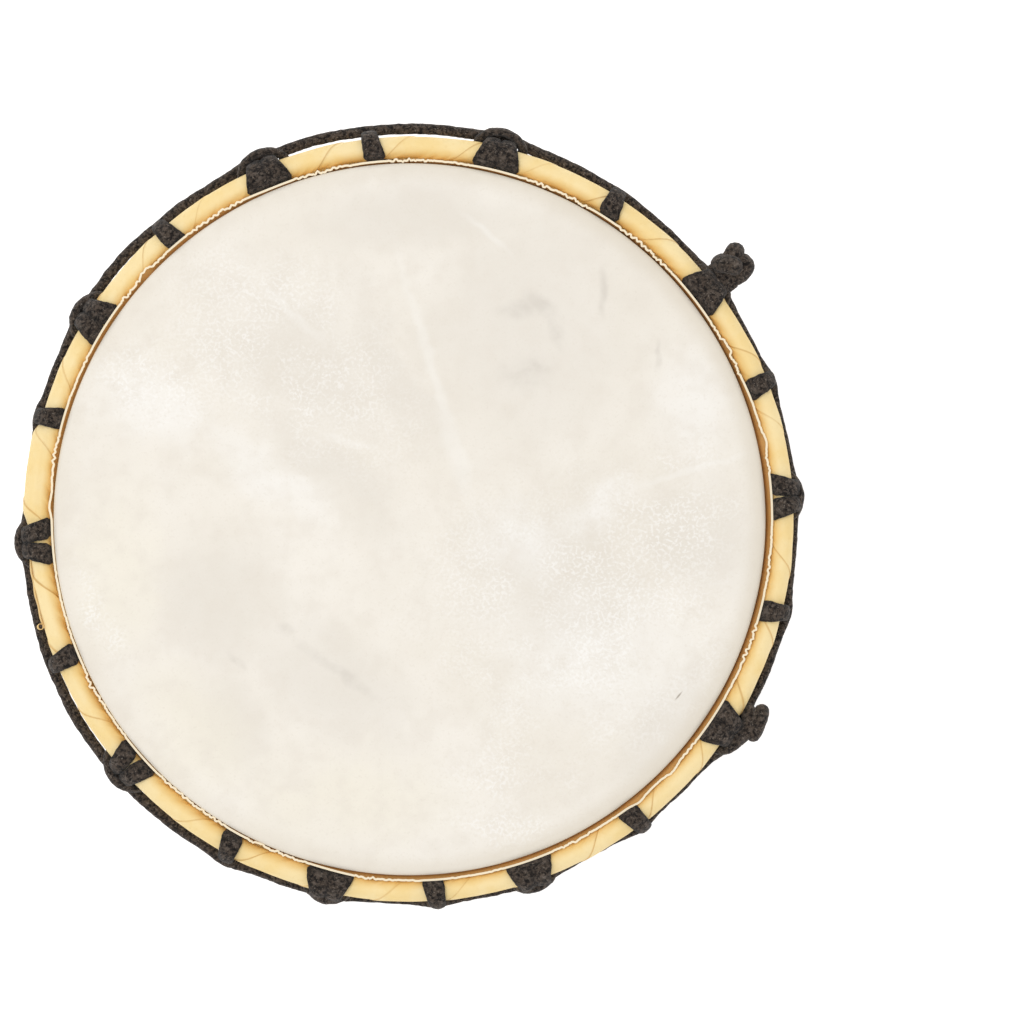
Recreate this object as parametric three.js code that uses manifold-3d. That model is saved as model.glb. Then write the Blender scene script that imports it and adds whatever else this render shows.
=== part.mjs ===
// A rope-tuned ceremonial drum, face up, in millimetres with +Z up.
// The origin is on the floor under the middle of the head.
// A goatskin is folded round a flesh hoop and pulled over a tapered wooden shell. A tape-bound
// crown ring presses the folded skin down. One black rope is tied along the crown ring in double
// hitches and runs slack between them. A second black rope laces the crown ring to a tape-bound
// ring low on the shell, with one turn over the crown ring between each pair of hitches.

import * as THREE from "three";
import { mergeVertices } from "three/addons/utils/BufferGeometryUtils.js";
import Module from "manifold-3d";

const wasm = await Module();
wasm.setup();

// Driving sizes
const HEAD_RADIUS = 150;
const DRUM_HEIGHT = 115;
const FIT_GAP = 0.3;
const JOIN_TOLERANCE = 0.1;
const LATHE_STEPS = 40;
const RING_STEPS = 60;

// Shell: a turned wooden body that narrows towards the floor
const SHELL_TAPER = THREE.MathUtils.degToRad(10);
const SHELL_WALL = 11;
const BEARING_BEVEL = 7;
const FOOT_ROUND = 1.5;

// Head: one goatskin, its edge folded round the flesh hoop and cut off as a standing collar
const SKIN = 0.9;
const EDGE_ROUND = 4;
const COLLAR_RADIUS = 150.3;
const COLLAR_LEAN = 1.1;

// Crown ring and the flesh hoop below it
const CROWN_RADIUS = 157.9;
const CROWN_TUBE = 4.5;
const CROWN_Z = DRUM_HEIGHT - 7;
const CROWN_SIDES = 8;
const HOOP_TUBE = 3;
const HOOP_Z = CROWN_Z - 9.2;
const HOOP_SIDES = 6;

// Ropes on the crown ring: hand-spaced hitches and lacing turns, in degrees from +X
const HITCH_ANGLES = [3.5, 37.8, 76.5, 112.8, 147.7, 183.5, 221.2, 257.2, 288.9, 326.4];
const TURN_ANGLES = [21.0, 57.2, 95.9, 130.4, 164.2, 202.0, 241.0, 273.7, 306.8, 345.6];
const ROPE_RADIUS = 2.1;
const ROPE_SIDES = 6;
const BAND_THICKNESS = 2;
const BAND_STEPS = 8;
const BAND_INNER_HALF_WIDTH = 4.6;
const BAND_OUTER_HALF_WIDTH = 3.3;
const HITCH_INNER_OFFSET = 5.5;
const HITCH_OUTER_OFFSET = 3.2;
const TURN_LEAN = 0.9;

// Slack rope between the hitches: over the outside of each hitch, below that of each turn
const HITCH_CREST = 8.3;
const HITCH_SHOULDER = 3.4;
const SLACK_RADIUS = 163;
const SLACK_DROP = 8.5;
const TURN_CROSSING = 9.4;
const TURN_CROSSING_DEGREES = -40;

// Knots at the two ends of the crown rope: [hitch number, reach from the ring, girth]
const BIG_KNOT = { hitch: 1, reach: 17.5, girth: 7.2 };
const SMALL_KNOT = { hitch: 9, reach: 10.5, girth: 5.6 };

// Bottom ring and the lacing
const BOTTOM_TUBE = 4;
const BOTTOM_Z = 13;
const BOTTOM_SIDES = 6;
const LACING_TOP = 7.1;
const LACING_TOP_DEGREES = -70;
const LACING_TIP = 0.8;
const BIGHT_STEPS = 4;
const BIGHT_SWEEP = 210;

const radians = THREE.MathUtils.degToRad;

// Outer radius of the shell at a height above the floor.
function shellRadius(z) {
  const top = HEAD_RADIUS - SKIN - FIT_GAP;
  return top - Math.tan(SHELL_TAPER) * (DRUM_HEIGHT - EDGE_ROUND - z);
}

const BOTTOM_RADIUS =
  shellRadius(BOTTOM_Z) + 2 * ROPE_RADIUS + BOTTOM_TUBE + 6 * FIT_GAP;

// Point on a circle in the radius-height plane, counted from the outward direction.
function onCircle(radius, height, size, degrees) {
  const a = radians(degrees);
  return new THREE.Vector2(radius + size * Math.cos(a), height + size * Math.sin(a));
}

// Points of an arc in the radius-height plane, both ends included.
function arc(radius, height, size, from, to, steps) {
  const points = [];
  for (let i = 0; i <= steps; i++) {
    points.push(onCircle(radius, height, size, from + ((to - from) * i) / steps));
  }
  return points;
}

// Point given by its angle round the drum, its radius and its height.
function cylindrical(degrees, radius, height) {
  const a = radians(degrees);
  return new THREE.Vector3(radius * Math.cos(a), radius * Math.sin(a), height);
}

// Direction away from the drum's axis at an angle round the drum.
function outwards(degrees) {
  const a = radians(degrees);
  return new THREE.Vector3(Math.cos(a), Math.sin(a), 0);
}

// Turned body from a profile in the radius-height plane.
function turned(profile, steps) {
  const geometry = new THREE.LatheGeometry(profile, steps);
  return geometry.rotateX(Math.PI / 2);
}

// Closed outline of a strip of even thickness along a line that starts on the axis.
function stripOutline(line, thickness) {
  const half = thickness / 2;
  const upper = [];
  const lower = [];
  line.forEach((p, i) => {
    const before = line[Math.max(i - 1, 0)];
    const after = line[Math.min(i + 1, line.length - 1)];
    const way = after.clone().sub(before).normalize();
    const side = new THREE.Vector2(-way.y, way.x).multiplyScalar(half);
    upper.push(p.clone().add(side));
    lower.push(p.clone().sub(side));
  });
  return [...upper, ...lower.reverse()];
}

// Rings of corners joined into a closed loop, as a geometry.
function closedLoop(sections) {
  const sides = sections[0].length;
  const positions = sections.flat().flatMap((p) => [p.x, p.y, p.z]);
  const index = [];
  sections.forEach((section, i) => {
    const next = (i + 1) % sections.length;
    for (let k = 0; k < sides; k++) {
      const turn = (k + 1) % sides;
      const a = i * sides + k;
      const b = i * sides + turn;
      const c = next * sides + k;
      const d = next * sides + turn;
      index.push(a, b, d, a, d, c);
    }
  });
  const geometry = new THREE.BufferGeometry();
  geometry.setAttribute("position", new THREE.Float32BufferAttribute(positions, 3));
  geometry.setIndex(index);
  return geometry;
}

// Rope that closes on itself, along a path of {point, side}, where side is never along the rope.
function closedRope(path, radius, sides) {
  const sections = path.map(({ point, side }, i) => {
    const before = path[(i + path.length - 1) % path.length].point;
    const after = path[(i + 1) % path.length].point;
    const way = after.clone().sub(before).normalize();
    const across = side.clone().addScaledVector(way, -side.dot(way)).normalize();
    const up = new THREE.Vector3().crossVectors(way, across);
    const corners = [];
    for (let k = 0; k < sides; k++) {
      const a = (2 * Math.PI * k) / sides;
      const corner = point.clone();
      corner.addScaledVector(across, radius * Math.cos(a));
      corner.addScaledVector(up, radius * Math.sin(a));
      corners.push(corner);
    }
    return corners;
  });
  return closedLoop(sections);
}

// Closed geometry as a solid that can be joined to others.
function solid(geometry) {
  const bare = geometry.index ? geometry.clone() : mergeVertices(geometry);
  bare.deleteAttribute("normal");
  bare.deleteAttribute("uv");
  const merged = mergeVertices(bare, 1e-3);
  return new wasm.Manifold(
    new wasm.Mesh({
      numProp: 3,
      vertProperties: new Float32Array(merged.attributes.position.array),
      triVerts: new Uint32Array(merged.index.array),
    }),
  );
}

// Several closed geometries joined into one body.
function joined(geometries) {
  const body = geometries.map(solid).reduce((all, next) => all.add(next));
  const mesh = body.simplify(JOIN_TOLERANCE).getMesh();
  const geometry = new THREE.BufferGeometry();
  geometry.setAttribute("position", new THREE.BufferAttribute(mesh.vertProperties, 3));
  geometry.setIndex(new THREE.BufferAttribute(mesh.triVerts, 1));
  return geometry;
}

// Shell: tapered wall with a bearing edge that is rounded outside and bevelled inside.
function shellGeometry() {
  const top = DRUM_HEIGHT - SKIN - FIT_GAP;
  const round = EDGE_ROUND - SKIN - FIT_GAP;
  const edge = HEAD_RADIUS - EDGE_ROUND;
  const inner = (z) => shellRadius(z) - SHELL_WALL;
  const taper = -THREE.MathUtils.radToDeg(SHELL_TAPER);
  const profile = [
    new THREE.Vector2(inner(0) + FOOT_ROUND, 0),
    new THREE.Vector2(shellRadius(0) - FOOT_ROUND, 0),
    new THREE.Vector2(shellRadius(FOOT_ROUND), FOOT_ROUND),
    ...arc(edge, DRUM_HEIGHT - EDGE_ROUND, round, taper, 90, 3),
    new THREE.Vector2(inner(top - BEARING_BEVEL), top - BEARING_BEVEL),
    new THREE.Vector2(inner(FOOT_ROUND), FOOT_ROUND),
    new THREE.Vector2(inner(0) + FOOT_ROUND, 0),
  ];
  return turned(profile, LATHE_STEPS);
}

// Radius of the middle of the skin where it lies on the shell's side.
function skinSide(z) {
  return shellRadius(z) + FIT_GAP + SKIN / 2;
}

const HOOP_RADIUS = skinSide(HOOP_Z) + SKIN / 2 + FIT_GAP + HOOP_TUBE;

// Head: flat skin, over the bearing edge, down the shell, round the hoop and up as a collar.
function headGeometry() {
  const fold = HOOP_TUBE + FIT_GAP + SKIN / 2;
  const edge = HEAD_RADIUS - EDGE_ROUND;
  const taper = -THREE.MathUtils.radToDeg(SHELL_TAPER);
  const line = [
    new THREE.Vector2(0, DRUM_HEIGHT - SKIN / 2),
    ...arc(edge, DRUM_HEIGHT - EDGE_ROUND, EDGE_ROUND - SKIN / 2, 90, taper, 3),
    ...arc(HOOP_RADIUS, HOOP_Z, fold, 185, 470, 6),
    new THREE.Vector2(COLLAR_RADIUS, CROWN_Z - 2.8),
    new THREE.Vector2(COLLAR_RADIUS, CROWN_Z + 2.8),
    new THREE.Vector2(COLLAR_RADIUS + COLLAR_LEAN, CROWN_Z + CROWN_TUBE + 0.5),
  ];
  const outline = stripOutline(line, SKIN);
  return turned(outline.reverse(), LATHE_STEPS);
}

// Plain round ring that lies level.
function ringGeometry(radius, height, tube, sides, steps) {
  const profile = arc(radius, height, tube, 180 / sides, 360 + 180 / sides, sides);
  return turned(profile, steps);
}

// Point near the crown ring: angle round the drum, shift along the rim in mm, angle round the
// ring's tube from its outer side, and distance from the tube's middle.
function nearCrown(degrees, shift, tubeDegrees, distance) {
  const a = radians(tubeDegrees);
  const radius = CROWN_RADIUS + distance * Math.cos(a);
  const turn = THREE.MathUtils.radToDeg(shift / CROWN_RADIUS);
  return cylindrical(degrees + turn, radius, CROWN_Z + distance * Math.sin(a));
}

// One flattened turn of rope round the crown ring, wider and shifted on the inner side.
function turnGeometry(degrees, innerShift, outerShift) {
  const halfStep = Math.PI / BAND_STEPS;
  const low = (CROWN_TUBE + FIT_GAP) / Math.cos(halfStep);
  const high = (CROWN_TUBE + FIT_GAP + BAND_THICKNESS) / Math.cos(halfStep);
  const sections = [];
  for (let i = 0; i < BAND_STEPS; i++) {
    const tubeDegrees = ((i + 0.5) * 360) / BAND_STEPS;
    const inner = (1 - Math.cos(radians(tubeDegrees))) / 2;
    const shift = THREE.MathUtils.lerp(outerShift, innerShift, inner);
    const half = THREE.MathUtils.lerp(BAND_OUTER_HALF_WIDTH, BAND_INNER_HALF_WIDTH, inner);
    sections.push([
      nearCrown(degrees, shift - half, tubeDegrees, low),
      nearCrown(degrees, shift - half, tubeDegrees, high),
      nearCrown(degrees, shift + half, tubeDegrees, high),
      nearCrown(degrees, shift + half, tubeDegrees, low),
    ]);
  }
  return closedLoop(sections);
}

// Double hitch: two turns that close up towards the outside.
function hitchGeometries(degrees) {
  return [-1, 1].map((way) =>
    turnGeometry(degrees, way * HITCH_INNER_OFFSET, way * HITCH_OUTER_OFFSET),
  );
}

// Angle part of the way from one tie to the next one round the drum.
function between(from, to, share) {
  const way = (to - from + 360) % 360;
  return from + way * share;
}

// Slack rope round the drum: arched over each hitch and pressed under each lacing turn's bulge.
function slackRopeGeometry() {
  const path = [];
  const add = (degrees, radius, height) =>
    path.push({ point: cylindrical(degrees, radius, height), side: outwards(degrees) });
  const crossing = onCircle(CROWN_RADIUS, CROWN_Z, TURN_CROSSING, TURN_CROSSING_DEGREES);
  const crest = CROWN_RADIUS + HITCH_CREST;
  const low = CROWN_Z - SLACK_DROP;
  const firstTurn = TURN_ANGLES.findIndex((degrees) => degrees > HITCH_ANGLES[0]);
  HITCH_ANGLES.forEach((hitch, i) => {
    const turn = TURN_ANGLES[(i + firstTurn) % TURN_ANGLES.length];
    const next = HITCH_ANGLES[(i + 1) % HITCH_ANGLES.length];
    add(hitch - HITCH_SHOULDER, crest - 1.2, CROWN_Z - 3.5);
    add(hitch - 1, crest, CROWN_Z + 0.5);
    add(hitch + 1, crest, CROWN_Z + 0.5);
    add(hitch + HITCH_SHOULDER, crest - 1.2, CROWN_Z - 3.5);
    add(between(hitch, turn, 0.5), SLACK_RADIUS, low);
    add(turn - 1.5, crossing.x, crossing.y);
    add(turn + 1.5, crossing.x, crossing.y);
    add(between(turn, next, 0.5), SLACK_RADIUS, low);
  });
  return closedRope(path, ROPE_RADIUS, ROPE_SIDES);
}

// Knot at a rope's end: two lobes of coiled rope on the outside of a hitch, the outer one larger.
function knotGeometries({ hitch, reach, girth }) {
  const degrees = HITCH_ANGLES[hitch];
  const start = CROWN_RADIUS + CROWN_TUBE + 2 * FIT_GAP;
  const squeeze = 0.85;
  const lobe = (distance, size) => {
    const geometry = new THREE.SphereGeometry(size, 8, 6);
    geometry.scale(squeeze, 1, 0.9);
    geometry.rotateZ(radians(degrees));
    const place = cylindrical(degrees, start + distance, CROWN_Z + 0.5);
    return geometry.translate(place.x, place.y, place.z);
  };
  return [
    lobe(squeeze * girth * 0.85, girth * 0.85),
    lobe(reach - squeeze * girth, girth),
  ];
}

// Crown rope: hitches, slack runs and end knots as one body.
function crownRopeGeometry() {
  return joined([
    slackRopeGeometry(),
    ...HITCH_ANGLES.flatMap(hitchGeometries),
    ...knotGeometries(BIG_KNOT),
    ...knotGeometries(SMALL_KNOT),
  ]);
}

// Lacing path: down from each turn on the outside, under the bottom ring and up behind it.
// The side direction swaps each time, because the rope comes back up with its face turned in.
function lacingPath() {
  const top = onCircle(CROWN_RADIUS, CROWN_Z, LACING_TOP, LACING_TOP_DEGREES);
  const cornerRoom = Math.cos(radians(BIGHT_SWEEP / BIGHT_STEPS / 2));
  const turnUnder = (BOTTOM_TUBE + FIT_GAP + ROPE_RADIUS) / cornerRoom;
  const from = (BIGHT_SWEEP - 180) / 2;
  const middle = new THREE.Vector2(BOTTOM_RADIUS, BOTTOM_Z);
  const path = [];
  TURN_ANGLES.forEach((turn, i) => {
    const face = i % 2 === 0 ? 1 : -1;
    const foot = between(turn, TURN_ANGLES[(i + 1) % TURN_ANGLES.length], 0.5);
    const add = (degrees, p, way) => {
      const side = cylindrical(degrees, way.x, way.y).multiplyScalar(face);
      path.push({ point: cylindrical(degrees, p.x, p.y), side });
    };
    add(turn - LACING_TIP, top, new THREE.Vector2(1, 0));
    add(turn + LACING_TIP, top, new THREE.Vector2(1, 0));
    const under = arc(middle.x, middle.y, turnUnder, from, -180 - from, BIGHT_STEPS);
    under.forEach((p) => add(foot, p, p.clone().sub(middle).normalize()));
  });
  return path;
}

// Lacing rope: the zigzag and its turns over the crown ring as one body.
function lacingGeometry() {
  return joined([
    closedRope(lacingPath(), ROPE_RADIUS, ROPE_SIDES),
    ...TURN_ANGLES.map((degrees) => turnGeometry(degrees, -TURN_LEAN, TURN_LEAN)),
  ]);
}

// Finishes
const varnishedWood = new THREE.MeshStandardMaterial({ color: 0x6b2f1a, roughness: 0.45 });
const goatskin = new THREE.MeshStandardMaterial({ color: 0xece6da, roughness: 0.7 });
const hoopSteel = new THREE.MeshStandardMaterial({
  color: 0x7d7b78,
  roughness: 0.5,
  metalness: 1,
});
const bindingTape = new THREE.MeshStandardMaterial({ color: 0xf0d590, roughness: 0.65 });
const blackRope = new THREE.MeshStandardMaterial({ color: 0x221f1e, roughness: 0.95 });

// One named piece of the drum.
function piece(name, geometry, material) {
  const mesh = new THREE.Mesh(geometry, material);
  mesh.name = name;
  return mesh;
}

const drum = new THREE.Group();
drum.add(
  piece("shell", shellGeometry(), varnishedWood),
  piece("head", headGeometry(), goatskin),
  piece(
    "flesh_hoop",
    ringGeometry(HOOP_RADIUS, HOOP_Z, HOOP_TUBE, HOOP_SIDES, LATHE_STEPS),
    hoopSteel,
  ),
  piece(
    "crown_ring",
    ringGeometry(CROWN_RADIUS, CROWN_Z, CROWN_TUBE, CROWN_SIDES, RING_STEPS),
    bindingTape,
  ),
  piece("crown_rope", crownRopeGeometry(), blackRope),
  piece("lacing_rope", lacingGeometry(), blackRope),
  piece(
    "bottom_ring",
    ringGeometry(BOTTOM_RADIUS, BOTTOM_Z, BOTTOM_TUBE, BOTTOM_SIDES, RING_STEPS),
    bindingTape,
  ),
);

export default drum;
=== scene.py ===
# A rope-tuned ceremonial drum, face up on a pale floor. All sizes are in metres, +Z is up, and
# the middle of the drum stands on the origin. Angles run anticlockwise from +X, seen from above.

import math
import random

import bmesh
import bpy
from mathutils import Matrix, Vector, noise


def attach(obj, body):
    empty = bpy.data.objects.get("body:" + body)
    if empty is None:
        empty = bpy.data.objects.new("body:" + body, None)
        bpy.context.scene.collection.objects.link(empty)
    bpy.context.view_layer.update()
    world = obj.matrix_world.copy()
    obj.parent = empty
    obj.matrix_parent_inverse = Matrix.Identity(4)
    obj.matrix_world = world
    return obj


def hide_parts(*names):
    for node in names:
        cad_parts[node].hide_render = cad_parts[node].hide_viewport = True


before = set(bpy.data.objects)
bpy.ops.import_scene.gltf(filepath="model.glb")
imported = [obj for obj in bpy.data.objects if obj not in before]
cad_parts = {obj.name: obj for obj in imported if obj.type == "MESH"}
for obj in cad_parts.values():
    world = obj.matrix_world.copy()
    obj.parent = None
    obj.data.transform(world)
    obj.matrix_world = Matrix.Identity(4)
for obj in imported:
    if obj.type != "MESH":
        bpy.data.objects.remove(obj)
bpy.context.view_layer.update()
bpy.ops.object.select_all(action="DESELECT")


# Wooden shell: a bowl-like body turned from one hardwood block and open underneath.
# It narrows towards the floor, and its mouth is rounded outside and bevelled inside for the skin.
# The outside is stained red-brown and varnished, the inside is left bare.
MM = 0.001
DRUM_HEIGHT = 115 * MM
HEAD_RADIUS = 150 * MM
SKIN = 0.9 * MM
FIT_GAP = 0.3 * MM
EDGE_ROUND = 4 * MM
SHELL_TAPER = math.radians(10)
SHELL_WALL = 11 * MM
SHELL_STEPS = 192
SHELL_LEVELS = (6, 20, 40, 60, 80, 100)
BARE_LEVELS = (80, 40, 5)
BEARING_BEVEL = 7 * MM
FOOT_ROUND = 1.5 * MM
GRAIN_STRETCH = 0.07
SEAM_REACH = 0.02 * MM
SMOOTH_ANGLE = math.radians(40)


def shell_radius(height):
    """Outer radius of the shell at a height above the floor."""
    drop = DRUM_HEIGHT - EDGE_ROUND - height
    return HEAD_RADIUS - SKIN - FIT_GAP - math.tan(SHELL_TAPER) * drop


def arc(radius, height, size, start, end, steps):
    """Points (radius, height) on an arc in a cut through the drum, in degrees from outwards."""
    points = []
    for i in range(steps + 1):
        angle = math.radians(start + (end - start) * i / steps)
        points.append((radius + size * math.cos(angle), height + size * math.sin(angle)))
    return points


def turned(name, profile, steps):
    """A ring of edges pulled along a profile of (radius, height), as a turner's tool goes."""
    bpy.ops.object.select_all(action="DESELECT")
    radius, height = profile[0]
    bpy.ops.mesh.primitive_circle_add(vertices=steps, radius=radius, location=(0, 0, height))
    piece = bpy.context.object
    piece.name = name
    bpy.ops.object.transform_apply(location=True, rotation=True, scale=True)
    bpy.ops.object.mode_set(mode="EDIT")
    bpy.ops.mesh.select_all(action="SELECT")
    for next_radius, next_height in profile[1:]:
        step = (0, 0, next_height - height)
        bpy.ops.mesh.extrude_edges_move(TRANSFORM_OT_translate={"value": step})
        size = next_radius / radius
        bpy.ops.transform.resize(value=(size, size, 1), center_override=(0, 0, next_height))
        radius, height = next_radius, next_height
    return piece


def finish_mesh(close=False):
    """Merges the seam if asked, points the faces outwards, leaves edit mode and shades smoothly."""
    bpy.ops.mesh.select_all(action="SELECT")
    if close:
        bpy.ops.mesh.remove_doubles(threshold=SEAM_REACH)
    bpy.ops.mesh.normals_make_consistent(inside=False)
    bpy.ops.object.mode_set(mode="OBJECT")
    bpy.ops.object.shade_smooth_by_angle(angle=SMOOTH_ANGLE)


def colour(red, green, blue):
    """A screen colour from 0 to 255 as the linear colour that shaders use."""
    linear = []
    for value in (red, green, blue):
        share = value / 255
        linear.append(share / 12.92 if share <= 0.04045 else ((share + 0.055) / 1.055) ** 2.4)
    return (*linear, 1.0)


def add_node(tree, kind, inputs=None, **settings):
    """A shader node with its settings, and with values or links on its inputs."""
    node = tree.nodes.new(kind)
    for key, value in settings.items():
        setattr(node, key, value)
    for key, value in (inputs or {}).items():
        if isinstance(value, bpy.types.NodeSocket):
            tree.links.new(value, node.inputs[key])
        else:
            node.inputs[key].default_value = value
    return node


def blend_colours(tree, share, first, second):
    """The colour between two colours, each of them a colour or another node's output.

    A mix node has its colours on the inputs 6 and 7, and the mixed colour on the output 2.
    """
    inputs = {0: share, 6: first, 7: second}
    node = add_node(tree, "ShaderNodeMix", inputs, data_type="RGBA", clamp_factor=True)
    return node.outputs[2]


def ranged(tree, value, low, high, to_low=0.0, to_high=1.0):
    """A value spread from one range to another with soft ends, and held inside it."""
    inputs = {"Value": value, "From Min": low, "From Max": high}
    inputs.update({"To Min": to_low, "To Max": to_high})
    node = add_node(tree, "ShaderNodeMapRange", inputs, interpolation_type="SMOOTHSTEP")
    return node.outputs[0]


def sums(tree, kind, first, second):
    """One arithmetic step between two values."""
    return add_node(tree, "ShaderNodeMath", {0: first, 1: second}, operation=kind).outputs[0]


def new_material(name):
    """A material with its node tree, its shader and the place on the piece in metres."""
    material = bpy.data.materials.new(name)
    material.use_nodes = True
    tree = material.node_tree
    shader = tree.nodes["Principled BSDF"]
    place = add_node(tree, "ShaderNodeTexCoord").outputs["Object"]
    return material, tree, shader, place


def noise_at(tree, place, scale, detail=4.0, roughness=0.55, distortion=0.0):
    """Cloudy variation over a piece, as a value around one half."""
    inputs = {"Vector": place, "Scale": scale, "Detail": detail}
    inputs.update({"Roughness": roughness, "Distortion": distortion})
    return add_node(tree, "ShaderNodeTexNoise", inputs).outputs["Fac"]


def bump(tree, shader, height, distance, strength=1.0, under=None):
    """Fine relief on a shader, in metres, on top of another relief if there is one."""
    inputs = {"Height": height, "Distance": distance, "Strength": strength}
    if under:
        inputs["Normal"] = under
    normal = add_node(tree, "ShaderNodeBump", inputs).outputs["Normal"]
    tree.links.new(normal, shader.inputs["Normal"])
    return normal


def wood_material(name, dark, middle, light, roughness, coat):
    """Wood with upright grain: streaks and pores stretched along the shell's height."""
    material, tree, shader, place = new_material(name)
    along = add_node(
        tree, "ShaderNodeMapping", {"Vector": place, "Scale": (1.0, 1.0, GRAIN_STRETCH)}
    ).outputs["Vector"]
    streaks = noise_at(tree, along, 95, detail=7, roughness=0.62, distortion=0.7)
    pores = noise_at(tree, along, 900, detail=3, roughness=0.6)
    stain = noise_at(tree, place, 14, detail=3)
    base = blend_colours(tree, ranged(tree, streaks, 0.36, 0.52), dark, middle)
    base = blend_colours(tree, ranged(tree, streaks, 0.5, 0.68), base, light)
    base = blend_colours(tree, ranged(tree, pores, 0.56, 0.7, 0.0, 0.55), base, dark)
    base = blend_colours(tree, ranged(tree, stain, 0.45, 0.7, 0.0, 0.35), base, dark)
    tree.links.new(base, shader.inputs["Base Color"])
    gloss = ranged(tree, streaks, 0.3, 0.7, roughness + 0.08, roughness - 0.06)
    tree.links.new(gloss, shader.inputs["Roughness"])
    shader.inputs["Coat Weight"].default_value = coat
    shader.inputs["Coat Roughness"].default_value = 0.22
    under = bump(tree, shader, streaks, 0.25 * MM, 0.6)
    bump(tree, shader, pores, 0.12 * MM, 0.5, under)
    return material


shell_top = DRUM_HEIGHT - SKIN - FIT_GAP
shell_inner = shell_radius(0) - SHELL_WALL
bevel_height = shell_top - BEARING_BEVEL
shell_profile = [(shell_inner + FOOT_ROUND, 0.0), (shell_radius(0) - FOOT_ROUND, 0.0)]
shell_profile += [(shell_radius(0) - 0.4 * FOOT_ROUND, 0.3 * FOOT_ROUND)]
shell_profile += [(shell_radius(FOOT_ROUND), FOOT_ROUND)]
shell_profile += [(shell_radius(z * MM), z * MM) for z in SHELL_LEVELS]
shell_profile += arc(
    HEAD_RADIUS - EDGE_ROUND, DRUM_HEIGHT - EDGE_ROUND, EDGE_ROUND - SKIN - FIT_GAP, -10, 90, 8
)
shell_profile += [(shell_radius(bevel_height) - SHELL_WALL, bevel_height)]
shell_profile += [(shell_radius(z * MM) - SHELL_WALL, z * MM) for z in BARE_LEVELS]
shell_profile += [(shell_inner + 0.3 * FOOT_ROUND, 0.4 * FOOT_ROUND)]
shell_profile += [(shell_inner + FOOT_ROUND, 0.0)]
shell = turned("wooden_shell", shell_profile, SHELL_STEPS)
finish_mesh(close=True)

shell.data.materials.append(
    wood_material(
        "varnished_wood", colour(58, 20, 11), colour(112, 44, 22), colour(146, 66, 34), 0.38, 0.4
    )
)
shell.data.materials.append(
    wood_material(
        "bare_wood", colour(128, 88, 54), colour(176, 132, 86), colour(202, 160, 112), 0.72, 0.0
    )
)
for face in shell.data.polygons:
    outward = face.center.x * face.normal.x + face.center.y * face.normal.y
    if outward < 0 and face.center.z > 0.2 * MM:
        face.material_index = 1
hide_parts("shell")
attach(shell, "root")


# Flesh hoop: a plain steel rod bent into a ring and welded.
# The skin is folded round it, so none of it shows, and its solid is kept as it is.
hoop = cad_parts["flesh_hoop"]
hoop_steel, tree, shader, place = new_material("hoop_steel")
drawn = noise_at(tree, place, 240, detail=5)
shade = blend_colours(tree, drawn, colour(104, 102, 99), colour(146, 143, 139))
tree.links.new(shade, shader.inputs["Base Color"])
tree.links.new(ranged(tree, drawn, 0.3, 0.7, 0.4, 0.6), shader.inputs["Roughness"])
shader.inputs["Metallic"].default_value = 1.0
for slot in hoop.material_slots:
    slot.material = hoop_steel


# Goatskin head: one scraped skin, wetted, pulled over the shell's mouth and folded round the hoop.
# The spare skin comes back up inside the crown ring and is cut off as a thin standing collar.
# The collar is tight behind the rope and crinkled where it dried free.
CROWN_RADIUS = 157.9 * MM
CROWN_TUBE = 4.85 * MM
CROWN_HEIGHT = DRUM_HEIGHT - 7 * MM
HOOP_TUBE = 3 * MM
HOOP_HEIGHT = CROWN_HEIGHT - 9.2 * MM
HOOP_RADIUS = shell_radius(HOOP_HEIGHT) + 2 * FIT_GAP + SKIN + HOOP_TUBE
FACE_RADII = (3, 40, 80, 115, 135, 142)
SHOULDER_RADIUS = 150.8 * MM
SHOULDER_ROUND = 2.6 * MM
SKIN_PULL = 0.5 * MM
SKIN_PULL_WAY = 190
COLLAR_RADIUS = 151.2 * MM
COLLAR_TOP = DRUM_HEIGHT - 2 * MM
COLLAR_LEVELS = (-2.6, -0.5, 1.2, 2.4, 3.3, 4.2, 5.0)
CUT_LEVEL = 4.8 * MM
FLAP_ANGLES = [12.4, 28.4, 137.0, 178.0, 207.5, 309.0, 316.0]
FLAP_HALF = 1.4
FLAP_LEAN = 1.1
FLAP_DROP = 0.4
HEAD_STEPS = 1440
HITCH_ANGLES = [3.5, 37.8, 76.5, 112.8, 147.7, 183.5, 221.2, 257.2, 288.9, 326.4]
TURN_ANGLES = [21.0, 57.2, 95.9, 130.4, 164.2, 202.0, 241.0, 273.7, 306.8, 345.6]


def gap_between(first, second):
    """The smaller angle between two directions, in degrees."""
    return abs((first - second + 180) % 360 - 180)


def eased(value, low, high):
    """A smooth rise from 0 at low to 1 at high."""
    share = min(max((value - low) / (high - low), 0.0), 1.0)
    return share * share * (3 - 2 * share)


def free_collar(degrees):
    """How free the collar is to crinkle: 0 behind a rope, up to 1 in a free stretch."""
    hitch = min(gap_between(degrees, tie) for tie in HITCH_ANGLES)
    turn = min(gap_between(degrees, tie) for tie in TURN_ANGLES)
    loose = min(eased(hitch, 3.2, 5.2), eased(turn, 1.4, 3.2))
    unrest = noise.noise(Vector((degrees * 0.11, 3.7, 0.0)))
    return loose * (0.25 + 0.75 * eased(unrest, -0.25, 0.3))


def collar_lean(degrees):
    """How far the cut edge leans out, in mm: to the ring on two sides, near the head elsewhere."""
    right = 1 - eased(gap_between(degrees, 320), 55, 68)
    left = 1 - eased(gap_between(degrees, 146), 24, 34)
    return 0.75 + 1.1 * max(right, left)


def mark_points(mesh, name, values):
    """A named value on each point of a mesh, for its material to read."""
    layer = mesh.attributes.new(name, "FLOAT", "POINT")
    layer.data.foreach_set("value", values)


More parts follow.
